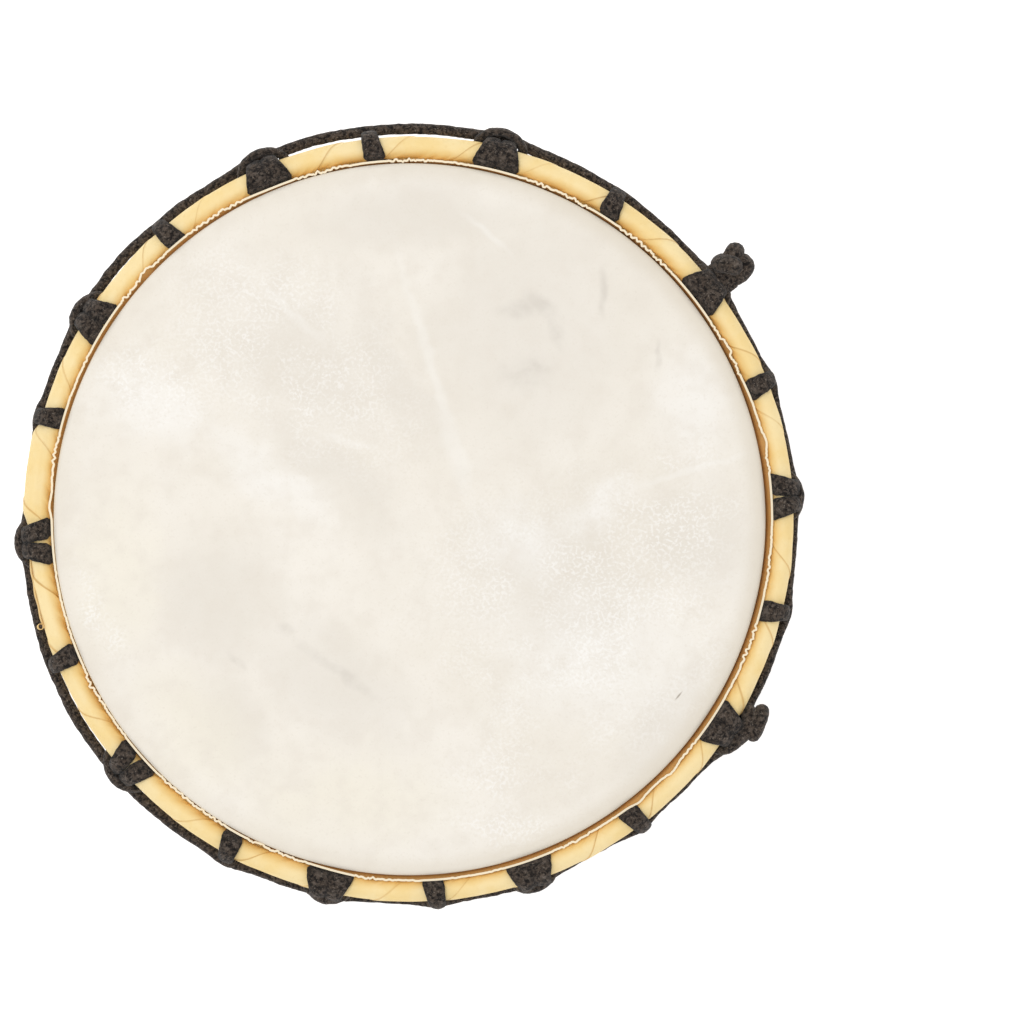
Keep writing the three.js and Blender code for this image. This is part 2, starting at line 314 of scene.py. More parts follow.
head_profile = [(r * MM, DRUM_HEIGHT - SKIN / 2) for r in FACE_RADII]
head_profile += arc(
    SHOULDER_RADIUS - SHOULDER_ROUND,
    DRUM_HEIGHT - SHOULDER_ROUND,
    SHOULDER_ROUND - SKIN / 2,
    90,
    -12,
    7,
)
head_profile += arc(HOOP_RADIUS, HOOP_HEIGHT, HOOP_TUBE + FIT_GAP + SKIN / 2, 185, 470, 11)
head_profile += [(COLLAR_RADIUS, CROWN_HEIGHT + z * MM) for z in COLLAR_LEVELS]
head = turned("goatskin_head", head_profile, HEAD_STEPS)
bpy.ops.mesh.select_all(action="DESELECT")
edit = bmesh.from_edit_mesh(head.data)
for vertex in edit.verts:
    vertex.select_set(vertex.co.xy.length < (FACE_RADII[0] + 0.1) * MM)
edit.select_flush_mode()
edit.select_flush(True)
bmesh.update_edit_mesh(head.data)
bpy.ops.mesh.extrude_edges_move()
bpy.ops.mesh.merge(type="CENTER")
finish_mesh()

cut_marks = []
for vertex in head.data.vertices:
    spot = vertex.co
    radius = spot.xy.length
    beyond_face = radius > COLLAR_RADIUS - 0.1 * MM
    at_cut = beyond_face and spot.z > CROWN_HEIGHT + CUT_LEVEL
    cut_marks.append(1.0 if at_cut else 0.0)
    degrees = math.degrees(math.atan2(spot.y, spot.x)) % 360
    if beyond_face and spot.z > CROWN_HEIGHT - 3 * MM:
        height = eased(spot.z, CROWN_HEIGHT - 2 * MM, COLLAR_TOP)
        free = free_collar(degrees)
        fold = noise.noise(Vector((degrees * 0.4, 11.3, 0.0)))
        crimp = noise.noise(Vector((degrees * 1.9, 27.9, 0.0)))
        sway = max(-0.7, min(0.8, (0.6 * fold + 1.5 * crimp) * free))
        nearest = min(gap_between(degrees, at) for at in FLAP_ANGLES)
        flap = math.exp(-((nearest / FLAP_HALF) ** 2))
        lean = (collar_lean(degrees) + sway + FLAP_LEAN * flap) * MM * height
        waves = noise.noise(Vector((degrees * 0.3, 5.1, 0.0)))
        lift = (0.8 * waves - 0.2) * free - FLAP_DROP * flap
        scale = (radius + lean) / radius
        vertex.co = Vector((spot.x * scale, spot.y * scale, spot.z + lift * MM * height))
    elif radius > HEAD_RADIUS - 5 * MM and spot.z > CROWN_HEIGHT:
        pull = SKIN_PULL * math.cos(math.radians(degrees - SKIN_PULL_WAY))
        scale = (radius + pull) / radius
        vertex.co = Vector((spot.x * scale, spot.y * scale, spot.z))

mark_points(head.data, "cut_edge", cut_marks)

thickness = head.modifiers.new("skin", "SOLIDIFY")
thickness.thickness = SKIN
thickness.offset = 0.0
bpy.context.view_layer.objects.active = head
bpy.ops.object.modifier_apply(modifier="skin")
bpy.ops.object.shade_smooth_by_angle(angle=math.radians(50))

soft_patch = bpy.data.node_groups.new("soft_patch", "ShaderNodeTree")
for socket in ("Place", "Middle", "Along", "Across"):
    soft_patch.interface.new_socket(socket, in_out="INPUT", socket_type="NodeSocketVector")
soft_patch.interface.new_socket("Mask", in_out="OUTPUT", socket_type="NodeSocketFloat")
patch_in = add_node(soft_patch, "NodeGroupInput")
patch_out = add_node(soft_patch, "NodeGroupOutput")
from_middle = add_node(
    soft_patch,
    "ShaderNodeVectorMath",
    {0: patch_in.outputs["Place"], 1: patch_in.outputs["Middle"]},
    operation="SUBTRACT",
).outputs[0]
shares = []
for way in ("Along", "Across"):
    measured = add_node(
        soft_patch,
        "ShaderNodeVectorMath",
        {0: from_middle, 1: patch_in.outputs[way]},
        operation="DOT_PRODUCT",
    )
    shares.append(measured.outputs["Value"])
patch_spot = add_node(soft_patch, "ShaderNodeCombineXYZ", {0: shares[0], 1: shares[1]})
patch_reach = add_node(
    soft_patch, "ShaderNodeVectorMath", {0: patch_spot.outputs["Vector"]}, operation="LENGTH"
)
soft_patch.links.new(
    ranged(soft_patch, patch_reach.outputs["Value"], 1.0, 0.15), patch_out.inputs["Mask"]
)


def patch(tree, place, x, y, long, wide, turn=0.0):
    """A soft-edged oval on the skin, by its middle and half sizes in mm and its turn in degrees."""
    node = add_node(tree, "ShaderNodeGroup", node_tree=soft_patch)
    tree.links.new(place, node.inputs["Place"])
    angle = math.radians(turn)
    along = Vector((math.cos(angle), math.sin(angle), 0)) / (long * MM)
    across = Vector((-math.sin(angle), math.cos(angle), 0)) / (wide * MM)
    node.inputs["Middle"].default_value = (x * MM, y * MM, DRUM_HEIGHT)
    node.inputs["Along"].default_value = along
    node.inputs["Across"].default_value = across
    return node.outputs["Mask"]


def largest(tree, masks):
    """The strongest of several masks at each spot."""
    strongest = masks[0]
    for mask in masks[1:]:
        strongest = sums(tree, "MAXIMUM", strongest, mask)
    return strongest


def drift(tree, place, scale, reach):
    """The place moved about by cloudy noise, so that what is drawn there loses its hard shape."""
    cloud = add_node(tree, "ShaderNodeTexNoise", {"Vector": place, "Scale": scale, "Detail": 2})
    centred = add_node(
        tree,
        "ShaderNodeVectorMath",
        {0: cloud.outputs["Color"], 1: (0.5, 0.5, 0.5)},
        operation="SUBTRACT",
    ).outputs[0]
    shift = add_node(tree, "ShaderNodeVectorMath", {0: centred, 3: reach}, operation="SCALE")
    moved = add_node(
        tree, "ShaderNodeVectorMath", {0: place, 1: shift.outputs[0]}, operation="ADD"
    )
    return moved.outputs[0]


def toned(tree, skin, place, patches, strength, tone):
    """The skin with soft patches of another tone, each given as for patch()."""
    masks = [patch(tree, place, *spot) for spot in patches]
    share = sums(tree, "MULTIPLY", largest(tree, masks), strength)
    return blend_colours(tree, share, skin, tone)


# The second grey patch lies along the main crease and is painted shade on that crease's darker
# side.
GREY_PATCHES = [(48, 80, 66, 74, 0), (-8, 66, 60, 18, -64), (-44, 68, 70, 40, -42)]
GREY_PATCHES += [(-36, 22, 54, 20, -40), (-80, -36, 50, 40, -20), (-34, -70, 56, 30, -35)]
GREY_PATCHES += [(122, -8, 38, 34, 0), (112, -82, 46, 22, 55), (2, 124, 70, 30, 5)]
GREY_PATCHES += [(-78, -84, 40, 26, -45), (62, -20, 60, 50, 0)]
BRIGHT_PATCHES = [(48, -8, 26, 28, 0), (118, 46, 24, 36, 8), (82, 4, 26, 12, 15)]
BRIGHT_PATCHES += [(-106, 46, 34, 28, 0), (-62, 16, 46, 15, -40), (76, -58, 60, 40, -20)]
WARM_PATCHES = [(-25, -119, 70, 32, 0), (-92, -92, 46, 32, -45), (-125, -20, 26, 50, 0)]
SMUDGES = [(56, 90, 13, 6, -35), (61, 80, 4.5, 11, 15), (49, 62, 17, 11, 10), (46, 89, 13, 6, 10)]
SMUDGES += [(81, 96, 3, 14, 0), (104, 69, 2.2, 9, 0), (-31, -64, 32, 3.5, -35)]
SMUDGES += [(-52, -47, 6, 4, -30), (-73, -60, 7, 2.5, -50)]
# Painted highlights: thin lighter lines where the skin's creases catch the light.
CREASE_HIGHLIGHTS = [(9, 64, 66, 3.4, -73), (32, 121, 18, 2.4, -41), (-50, 87, 26, 3, -45)]
CREASE_HIGHLIGHTS += [(119, 21, 34, 2.2, 16), (-26, 33, 18, 2.6, -18), (19, 28, 32, 6, -73)]
FLECK_ZONES = [(-47, 68, 86, 52, -45), (-106, 56, 40, 34, 0), (73, -41, 106, 84, -8)]
FLECK_ZONES += [(48, -114, 46, 38, 25), (-131, -41, 9, 30, 15), (116, 2, 42, 44, 0)]
SCRATCH = (113.4, -74.7, 3.2, 0.55, 50)

goatskin, tree, shader, place = new_material("goatskin")
nudged = drift(tree, place, 110, 0.006)
drifted = drift(tree, drift(tree, place, 24, 0.036), 100, 0.012)
clouds = noise_at(tree, place, 15, detail=3, roughness=0.62)
mottle = noise_at(tree, place, 90, detail=3, roughness=0.65)
speck = noise_at(tree, place, 720, detail=3, roughness=0.6)
skin = blend_colours(
    tree, ranged(tree, clouds, 0.32, 0.68), colour(237, 230, 218), colour(243, 237, 227)
)
skin = toned(tree, skin, drifted, GREY_PATCHES, 0.62, colour(227, 220, 209))
skin = toned(tree, skin, drifted, WARM_PATCHES, 0.55, colour(241, 234, 217))
skin = toned(tree, skin, drifted, BRIGHT_PATCHES, 0.5, colour(248, 245, 240))
skin = blend_colours(
    tree, ranged(tree, mottle, 0.45, 0.72, 0.0, 0.4), skin, colour(231, 223, 211)
)
skin = blend_colours(tree, ranged(tree, speck, 0.46, 0.3, 0.0, 0.3), skin, colour(225, 217, 204))
rubbed = ranged(tree, mottle, 0.35, 0.65, 0.2, 0.55)
smudge_masks = [patch(tree, nudged, *spot) for spot in SMUDGES]
rubbed = sums(tree, "MULTIPLY", largest(tree, smudge_masks), rubbed)
skin = blend_colours(tree, rubbed, skin, colour(210, 203, 193))
# Painted highlight along the creases.
skin = toned(tree, skin, nudged, CREASE_HIGHLIGHTS, 0.26, colour(251, 249, 244))

veins = add_node(
    tree,
    "ShaderNodeTexVoronoi",
    {"Vector": nudged, "Scale": 380, "Randomness": 1.0},
    feature="DISTANCE_TO_EDGE",
).outputs["Distance"]
vein_lines = ranged(tree, veins, 0.2, 0.03)
vein_lines = sums(tree, "MULTIPLY", vein_lines, ranged(tree, speck, 0.42, 0.6))
flecks = sums(tree, "MAXIMUM", vein_lines, ranged(tree, speck, 0.55, 0.72))
zone = largest(tree, [patch(tree, drifted, *spot) for spot in FLECK_ZONES])
uneven = ranged(tree, noise_at(tree, place, 48, detail=3), 0.38, 0.6, 0.15, 1.0)
flecks = sums(tree, "MULTIPLY", flecks, sums(tree, "MULTIPLY", zone, uneven))
skin = blend_colours(tree, sums(tree, "MULTIPLY", flecks, 0.55), skin, colour(253, 251, 247))
skin = toned(tree, skin, place, [SCRATCH], 0.8, colour(150, 138, 122))

split = add_node(tree, "ShaderNodeSeparateXYZ", {"Vector": place})
depth = split.outputs["Z"]
flat_place = add_node(tree, "ShaderNodeCombineXYZ", {0: split.outputs["X"], 1: split.outputs["Y"]})
reach = add_node(
    tree, "ShaderNodeVectorMath", {0: flat_place.outputs["Vector"]}, operation="LENGTH"
).outputs["Value"]
# Painted shade: a darker grey-tan band just inside the rim, stronger towards +X, stands in for the
# shade at the rounded bearing edge.
rim = ranged(tree, reach, HEAD_RADIUS - 10 * MM, HEAD_RADIUS - 0.5 * MM, 0.0, 0.6)
rim = sums(tree, "MULTIPLY", rim, ranged(tree, split.outputs["X"], -0.12, 0.1, 0.35, 1.0))
skin = blend_colours(tree, rim, skin, colour(218, 207, 188))
# Below the collar's edge and inside it the skin is a darker amber: partly the skin's own amber
# side, partly painted shade of the narrow gap between head and collar.
below = ranged(tree, depth, DRUM_HEIGHT - 1.5 * MM, DRUM_HEIGHT - 3.2 * MM)
inside = ranged(tree, reach, COLLAR_RADIUS + 0.5 * MM, COLLAR_RADIUS)
below = sums(tree, "MULTIPLY", below, inside)
amber_gap_shade = blend_colours(
    tree, ranged(tree, mottle, 0.35, 0.65), colour(206, 170, 108), colour(223, 188, 128)
)
skin = blend_colours(tree, below, skin, amber_gap_shade)
# On the collar the face turned towards the head is a darker golden than the outer face: painted
# shade of the gap between collar and head.
on_collar = ranged(tree, reach, COLLAR_RADIUS - 0.35 * MM, COLLAR_RADIUS + 0.1 * MM)
surface = add_node(tree, "ShaderNodeNewGeometry").outputs["Normal"]
facing = add_node(
    tree,
    "ShaderNodeVectorMath",
    {0: surface, 1: flat_place.outputs["Vector"]},
    operation="DOT_PRODUCT",
).outputs["Value"]
collar = blend_colours(
    tree, ranged(tree, facing, -0.02, 0.06), colour(234, 188, 118), colour(246, 217, 150)
)
skin = blend_colours(tree, on_collar, skin, collar)
cut_edge = add_node(tree, "ShaderNodeAttribute", attribute_name="cut_edge").outputs["Fac"]
skin = blend_colours(tree, ranged(tree, cut_edge, 0.25, 0.85), skin, colour(248, 233, 203))
tree.links.new(skin, shader.inputs["Base Color"])
tree.links.new(ranged(tree, mottle, 0.3, 0.7, 0.52, 0.68), shader.inputs["Roughness"])
shader.inputs["Specular IOR Level"].default_value = 0.35
under = bump(tree, shader, speck, 0.10 * MM, 0.5)
bump(tree, shader, mottle, 0.3 * MM, 0.45, under)
head.data.materials.append(goatskin)
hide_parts("head")
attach(head, "root")


# Crown ring: a steel ring wound with pale yellow ribbed tape, each turn lapped over the last one.
# It lies on the folded skin and is pulled down by the lacing.
# One stretch is wound thick, and the tape's last end has come loose and curls up.
CROWN_WRAPS = 33
CROWN_PHASE = 2.3
TAPE_STEP = 0.45 * MM
TAPE_COLUMNS = [0.0, 0.008, 0.02, 0.045, 0.08]
TAPE_COLUMNS += [0.12 + 0.06 * i for i in range(14)]
TAPE_COLUMNS += [0.95, 0.985, 0.994]
TAPE_THICK = 0.25 * MM
TUBE_SIDES = 32
THICK_MIDDLE = 173.0
THICK_HALF = 8.0
THICK_EXTRA = 2.1 * MM
LOOSE_START = 186.0
LOOSE_END = 196.2
LOOSE_HALF = 1.0 * MM
LOOSE_TUBE_DEGREES = 22
LOOSE_WAVES = 9
LOOSE_EDGE_MARK = 0.6
LOOSE_INNER_MARK = 0.5
LOOSE_LIFT = 0.55 * MM
LOOSE_STRAIGHT = 0.82
LOOSE_CURL = 320
LOOSE_CURL_RADIUS = 1.1 * MM


def outwards(degrees):
    """The level direction away from the drum's middle."""
    return Vector((math.cos(math.radians(degrees)), math.sin(math.radians(degrees)), 0))


def along_rim(degrees):
    """The level direction along the rim, anticlockwise."""
    return Vector((-math.sin(math.radians(degrees)), math.cos(math.radians(degrees)), 0))


def ring_spot(ring_radius, ring_height, degrees, tube_degrees, distance):
    """A point near a level ring: angle round the drum, angle round the tube, distance from it."""
    tube = math.radians(tube_degrees)
    radius = ring_radius + distance * math.cos(tube)
    turn = math.radians(degrees)
    height = ring_height + distance * math.sin(tube)
    return Vector((radius * math.cos(turn), radius * math.sin(turn), height))


def tape_slant(tube_degrees):
    """How far the tape has gone along the ring, in degrees of its turn round the tube.

    It runs on evenly from below over the outside, the top and the inside, and comes back in the
    hidden quarter between the ring and the shell.
    """
    if tube_degrees > 290:
        return tube_degrees - 360
    return min(tube_degrees, 800 - 3 * tube_degrees)


def taped_ring(name, ring_radius, ring_height, tube, wraps, phase, seed, thick):
    """A ring with tape wound round it. Columns of the mesh follow the tape's lapped edges."""
    draw = random.Random(seed)
    marks = [0.45 + 0.55 * draw.random() for _ in range(wraps)]
    columns = wraps * len(TAPE_COLUMNS)
    ring = turned(name, arc(ring_radius, ring_height, tube, 0, 360, TUBE_SIDES), columns)
    finish_mesh(close=True)
    edge_marks, inner_marks = [], []
    for vertex in ring.data.vertices:
        spot = vertex.co
        column = round(columns * math.atan2(spot.y, spot.x) / (2 * math.pi)) % columns
        tube_turn = math.atan2(spot.z - ring_height, spot.xy.length - ring_radius)
        side = round(TUBE_SIDES * tube_turn / (2 * math.pi)) % TUBE_SIDES
        wrap, part = divmod(column, len(TAPE_COLUMNS))
        share = TAPE_COLUMNS[part]
        tube_degrees = 360 * side / TUBE_SIDES
        degrees = phase + (360 * (wrap + share) + tape_slant(tube_degrees)) / wraps
        lap = TAPE_STEP * marks[wrap] * (1 - eased(share, 0.0, 0.5))
        facing = math.cos(math.radians(tube_degrees))
        lump = noise.noise(Vector((degrees * 0.35, facing * 2, seed))) * 0.12 * MM
        distance = tube - TAPE_STEP * 0.6 + lap + lump
        if thick:
            window = 1 - eased(gap_between(degrees, THICK_MIDDLE), 0.7 * THICK_HALF, THICK_HALF)
            distance += THICK_EXTRA * window * max(0.0, facing) ** 0.7
        vertex.co = ring_spot(ring_radius, ring_height, degrees, tube_degrees, distance)
        edge_marks.append(marks[wrap] * (1 - eased(min(share, 1 - share), 0.006, 0.03)))
        # inner_side marks the tape's inner, lower side, where the material paints a golden shade.
        inner_marks.append(eased(-facing, -0.1, 0.95))
    mark_points(ring.data, "tape_edge", edge_marks)
    mark_points(ring.data, "inner_side", inner_marks)
    return ring


binding_tape, tree, shader, place = new_material("binding_tape")
lapped = add_node(tree, "ShaderNodeAttribute", attribute_name="tape_edge").outputs["Fac"]
stains = noise_at(tree, place, 60, detail=4)
grain = noise_at(tree, place, 650, detail=3, roughness=0.65)
tape = blend_colours(
    tree, ranged(tree, stains, 0.35, 0.65), colour(246, 217, 152), colour(249, 226, 172)
)
tape = blend_colours(tree, ranged(tree, grain, 0.55, 0.75, 0.0, 0.25), tape, colour(232, 198, 130))
# Painted shade: the tape turns deeper golden towards the ring's inner, lower side, standing in for
# the shade and warm interreflection between ring and collar.
inner_side = add_node(tree, "ShaderNodeAttribute", attribute_name="inner_side").outputs["Fac"]
painted_inner_shade = sums(tree, "MULTIPLY", inner_side, 0.75)
tape = blend_colours(tree, painted_inner_shade, tape, colour(232, 190, 108))
# Darker golden lines along each lapped tape edge: partly the edge's own colour, partly painted
# shadow of the lap step.
tape = blend_colours(tree, ranged(tree, lapped, 0.2, 0.95, 0.0, 0.7), tape, colour(204, 154, 80))
tree.links.new(tape, shader.inputs["Base Color"])
tree.links.new(ranged(tree, grain, 0.3, 0.7, 0.55, 0.7), shader.inputs["Roughness"])
shader.inputs["Specular IOR Level"].default_value = 0.3
bump(tree, shader, grain, 0.1 * MM, 0.7)

crown_ring = taped_ring(
    "crown_ring_tape",
    CROWN_RADIUS,
    CROWN_HEIGHT,
    CROWN_TUBE,
    CROWN_WRAPS,
    CROWN_PHASE,
    seed=7,
    thick=True,
)
bpy.ops.object.select_all(action="DESELECT")
bpy.ops.mesh.primitive_grid_add(x_subdivisions=60, y_subdivisions=2, size=2)
loose_end = bpy.context.object
for vertex in loose_end.data.vertices:
    along = (vertex.co.x + 1) / 2
    across = math.degrees(vertex.co.y * LOOSE_HALF / CROWN_TUBE)
    straight = min(along / LOOSE_STRAIGHT, 1.0)
    curl = math.radians(LOOSE_CURL) * max(along - LOOSE_STRAIGHT, 0) / (1 - LOOSE_STRAIGHT)
    degrees = LOOSE_START + (LOOSE_END - LOOSE_START) * straight
    lift = LOOSE_LIFT * (0.4 + 0.6 * math.sin(LOOSE_WAVES * straight) ** 2)
    tube_degrees = LOOSE_TUBE_DEGREES + across
    spot = ring_spot(CROWN_RADIUS, CROWN_HEIGHT, degrees, tube_degrees, CROWN_TUBE + lift)
    spot += along_rim(degrees) * LOOSE_CURL_RADIUS * math.sin(curl)
    spot += outwards(degrees) * LOOSE_CURL_RADIUS * (1 - math.cos(curl))
    vertex.co = spot
loose_count = len(loose_end.data.vertices)
mark_points(loose_end.data, "tape_edge", [LOOSE_EDGE_MARK] * loose_count)
# The loose end takes part of the painted inner shade.
mark_points(loose_end.data, "inner_side", [LOOSE_INNER_MARK] * loose_count)
thickness = loose_end.modifiers.new("tape", "SOLIDIFY")
thickness.thickness = TAPE_THICK
bpy.ops.object.modifier_apply(modifier="tape")
bpy.ops.object.shade_smooth()
crown_ring.select_set(True)
bpy.context.view_layer.objects.active = crown_ring
bpy.ops.object.join()
crown_ring.data.materials.append(binding_tape)
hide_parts("crown_ring")
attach(crown_ring, "root")


# Crown rope: one soft black cord, tied along the crown ring in double hitches and left slack
# between them. Each hitch is two flattened legs over the ring, held by a bight outside.
# Both ends of the cord are knotted: one as a fat stopper, the other as a short doubled tail.
ROPE_HALF = 2.1 * MM
LUMP_HEIGHT = 0.28
LUMP_SIZE = 3.2 * MM
FUZZ_HEIGHT = 0.16
FUZZ_SIZE = 1.3 * MM
LEG_STEPS = 56
LEG_SIDES = 20
LEG_THIN = 0.5 * MM
LEG_THICK = 1.55 * MM
LEG_TUCK = 0.42
LEG_CLEAR = 0.2 * MM
LEG_SQUARENESS = 2.2
LEG_SIDE_SHADE = 1.0
TURN_INNER_HALF = 4.7 * MM
LEG_OUTER_HALF = 3.3 * MM
HITCH_HALF = 10.6 * MM
HITCH_SPREADS = [6.0, 5.1, 5.1, 5.1, 5.6, 6.1, 6.0, 5.1, 5.1, 5.3]
HITCH_OUTER_OFFSET = 3.1 * MM
LOW_BIGHT = [(0, 5), (3.2, 0), (5.6, -22), (7.4, -42), (8.7, -62), (6.8, -95)]
HIGH_BIGHT = [(0, 10), (3.5, 6), (6.5, -2), (8.8, -22), (9.3, -50), (7.0, -95)]
BIGHT_WIDE = 2.7
BIGHT_THICK = 1.8
BIGHT_FALL = 0.045
BIGHT_CLEAR = 7.0
ROUND_SIDES = 14
HITCH_REACHES = [167.4, 168.5, 170.7, 170.2, 169.4, 168.9, 169.5, 167.6, 167.4, 170.4]
TURN_REACHES = [166.2, 166.6, 168.3, 167.0, 167.0, 167.7, 167.9, 166.0, 165.8, 167.0]
SLACK_REACHES = [164.4, 164.5, 165.7, 167.1, 168.7, 168.9, 167.2, 168.2, 166.4, 164.6]
SLACK_REACHES += [167.2, 168.5, 167.6, 165.8, 164.3, 164.6, 163.4, 164.3, 166.4, 164.8]
CORD_CLEAR = 9.3 * MM
SLACK_STEP = 0.5
HITCH_TUCK = 1.6
HITCH_REST = 3.6
TURN_REST = 2.6
SLACK_DROP = 8.0
TIED_LIFT = 3.2
BIG_KNOT = (38.4, 174.3 * MM)
KNOT_STEPS = 120
KNOT_SCALE = 1.75
KNOT_TIP = 38
KNOT_HALF_WIDTH = 4.0 * MM
KNOT_HALF_THICK = 3.9 * MM
NECK_RADII = (162, 166, 170)
NECK_HALF_WIDTH = 7.4 * MM
NECK_HALF_THICK = 3.8 * MM
TAIL_KEYS = [(331.2, 169.9, 1.0), (329.6, 170.9, 1.6), (327.9, 171.6, 1.2)]
TAIL_HALF = 3.4
TAIL_ROOT_KEYS = [(330.6, 164.5, -3.0), (329.6, 167.2, 0.2), (327.4, 168.6, 1.0)]
TAIL_ROOT_KEYS += [(325.6, 167.2, 0.4)]
TAIL_ROOT_HALF = 2.9


def cylinder_spot(degrees, radius, height):
    """A point by its angle round the drum, its radius and its height."""
    return outwards(degrees) * radius + Vector((0, 0, height))


class RopeMesh:
    """Strands of cord gathered as one mesh, with a map of length and girth for their fibres."""

    def __init__(self):
        self.points = []
        self.faces = []
        self.layout = []
        self.edges = []
        self.start = 0.0

    def strand(self, stations, sides, closed, squareness=2.0, side_shade=0.0):
        """Adds a cord through stations of (middle, across, up, half width, half thickness).

        Side shade darkens the two sides of a flattened cord: painted shade where they turn from the
        light.
        """
        first = len(self.points)
        lengths = [self.start]
        for here, there in zip(stations, stations[1:]):
            lengths.append(lengths[-1] + (there[0] - here[0]).length)
        if closed:
            lengths.append(lengths[-1] + (stations[0][0] - stations[-1][0]).length)
        for middle, across, up, half_width, half_thick in stations:
            for side in range(sides):
                turn = 2 * math.pi * side / sides
                x = math.copysign(abs(math.cos(turn)) ** (2 / squareness), math.cos(turn))
                y = math.copysign(abs(math.sin(turn)) ** (2 / squareness), math.sin(turn))
                spot = middle + across * (half_width * x) + up * (half_thick * y)
                way = (spot - middle).normalized()
                rough = LUMP_HEIGHT * noise.noise(spot / LUMP_SIZE)
                rough += FUZZ_HEIGHT * noise.noise(spot / FUZZ_SIZE)
                self.points.append(spot + way * rough * MM)
                self.edges.append(side_shade * abs(math.cos(turn)) ** 4)
        rings = len(stations)
        for ring in range(rings if closed else rings - 1):
            after = (ring + 1) % rings
            for side in range(sides):
                turn = (side + 1) % sides
                a, b = first + ring * sides, first + after * sides
                self.faces.append((a + side, a + turn, b + turn, b + side))
                near, far = lengths[ring] / MM, lengths[ring + 1] / MM
                low, high = side / sides, (side + 1) / sides
                self.layout.append([(near, low), (near, high), (far, high), (far, low)])
        if not closed:
            for ring, order in ((0, -1), (rings - 1, 1)):
                corners = [first + ring * sides + side for side in range(sides)][::order]
                self.faces.append(tuple(corners))
                self.layout.append([(lengths[ring] / MM, 0.5)] * sides)
        self.start = lengths[-1] + 7 * MM

    def piece(self, name):
        """The finished cord as an object, faces outwards and smooth."""
        mesh = bpy.data.meshes.new(name)
        mesh.from_pydata(self.points, [], self.faces)
        mesh.update()
        layer = mesh.uv_layers.new(name="cord")
        for face, corners in zip(mesh.polygons, self.layout):
            for loop, corner in zip(face.loop_indices, corners):
                layer.data[loop].uv = corner
        mark_points(mesh, "side_shade", self.edges)
        made = bpy.data.objects.new(name, mesh)
        bpy.context.scene.collection.objects.link(made)
        bpy.ops.object.select_all(action="DESELECT")
        made.select_set(True)
        bpy.context.view_layer.objects.active = made
        bpy.ops.object.mode_set(mode="EDIT")
        finish_mesh()
        return made


def smooth_line(keys, steps, closed):
    """A smooth line of points through key points, with even steps between neighbours."""
    line = []
    count = len(keys)
    spans = count if closed else count - 1
    for i in range(spans):
        if closed:
            a, b, c, d = (keys[(i + k) % count] for k in (-1, 0, 1, 2))
        else:
            a, b = keys[max(i - 1, 0)], keys[i]
            c, d = keys[i + 1], keys[min(i + 2, count - 1)]
        for k in range(steps):
            t = k / steps
            bend = (2 * a - 5 * b + 4 * c - d) * t * t + (3 * b - a - 3 * c + d) * t * t * t
            line.append(b + ((c - a) * t + bend) * 0.5)
    if not closed:
        line.append(keys[-1].copy())
    return line


def stations_along(line, ups, half_width, half_thick, closed):
    """Stations for a strand along a line, with the thickness turned to the given directions.

    The ends of an open strand are rounded off.
    """
    stations = []
    count = len(line)
    for i, middle in enumerate(line):
        before = line[i - 1] if closed or i > 0 else middle
        after = line[(i + 1) % count] if closed or i < count - 1 else middle
        way = (after - before).normalized()
        up = (ups[i] - way * ups[i].dot(way)).normalized()
        across = up.cross(way)
        stations.append((middle, across, up, half_width, half_thick))
    if not closed:
        for end, beside, order in ((0, 1, 1), (-1, -2, -1)):
            middle, across, up, _, _ = stations[end]
            way = (middle - stations[beside][0]).normalized()
            cap = []
            for degrees in (80, 60, 35):
                share = math.cos(math.radians(degrees))
                spot = middle + way * half_thick * math.sin(math.radians(degrees))
                cap.append((spot, across, up, half_width * share, half_thick * share))
            stations = cap + stations if order == 1 else stations + cap[::-1]
    return stations


def ring_leg(degrees, inner_shift, outer_shift, inner_half):
    """One flattened turn of cord round the crown ring, broader where it dives inside the ring."""
    stations = []
    for i in range(LEG_STEPS):
        tube_degrees = 360 * i / LEG_STEPS
        inner = (1 - math.cos(math.radians(tube_degrees))) / 2
        shift = outer_shift + (inner_shift - outer_shift) * inner
        facing = abs(180 - tube_degrees)
        half = LEG_OUTER_HALF + (inner_half - LEG_OUTER_HALF) * eased(180 - facing, 0, 135)
        half *= 1 - LEG_TUCK * (1 - eased(facing, 0, 55))
        swell = eased(math.cos(math.radians(tube_degrees)), -0.85, 0.1)
        puff = LEG_THIN + (LEG_THICK - LEG_THIN) * swell
        distance = CROWN_TUBE + LEG_CLEAR + puff
        angle = degrees + math.degrees(shift / CROWN_RADIUS)
        middle = ring_spot(CROWN_RADIUS, CROWN_HEIGHT, angle, tube_degrees, distance)
        core = ring_spot(CROWN_RADIUS, CROWN_HEIGHT, angle, tube_degrees, 0)
        up = (middle - core).normalized()
        stations.append((middle, along_rim(angle), up, half, puff))
    return stations


